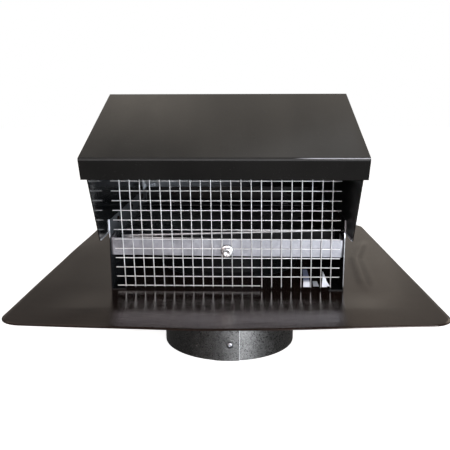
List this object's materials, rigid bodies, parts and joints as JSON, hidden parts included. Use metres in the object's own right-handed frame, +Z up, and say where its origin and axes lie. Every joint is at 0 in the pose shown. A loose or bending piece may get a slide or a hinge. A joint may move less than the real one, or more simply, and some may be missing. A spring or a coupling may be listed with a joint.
{
  "type": "roof vent",
  "caption": "Hooded sheet-metal roof vent with a square base flange, a wire-screened front opening, a hinged backdraft damper and a round duct collar below.",
  "frame": {"origin": "where the duct collar's axis meets the underside of the base flange", "axes": "+Z up along the duct axis, -Y towards the open front, +X to the right as seen from the front"},
  "size_m": [0.254, 0.291, 0.1874],
  "materials": {
    "flange_paint": "glossy dark bronze paint",
    "throat_paint": "glossy dark bronze paint",
    "hood_paint": "satin dark bronze paint",
    "rivet_paint": "satin dark bronze paint",
    "collar_zinc": "dull galvanised, spangled",
    "strap_zinc": "bright galvanised",
    "wire_zinc": "bright zinc wire",
    "screw_zinc": "bright zinc plate",
    "rivet_zinc": "dull zinc",
    "damper_zinc": "galvanised sheet",
    "rod_steel": "bright drawn steel"
  },
  "bodies": {
    "housing": {"base_flange": "flange_paint", "duct_collar": "collar_zinc", "collar_rivets": "rivet_zinc", "throat_body": "throat_paint", "hood_cover": "hood_paint", "hood_side_left": "hood_paint", "hood_side_right": "hood_paint", "cover_rivets": "rivet_paint", "lap_rivets": "rivet_paint", "wire_screen": "wire_zinc", "screen_strap": "strap_zinc", "strap_rivets": "rivet_zinc", "screen_screw": "screw_zinc", "hinge_rod": "rod_steel", "rod_caps": "rod_steel"},
    "damper": {"damper_flap": "damper_zinc"}
  },
  "joints": [
    {"name": "damper_hinge", "type": "hinge", "parent": "housing", "child": "damper", "pos_m": [0, 0.057, 0.03426], "axis": [-1, 0, 0], "range_deg": [0, 40]}
  ]
}
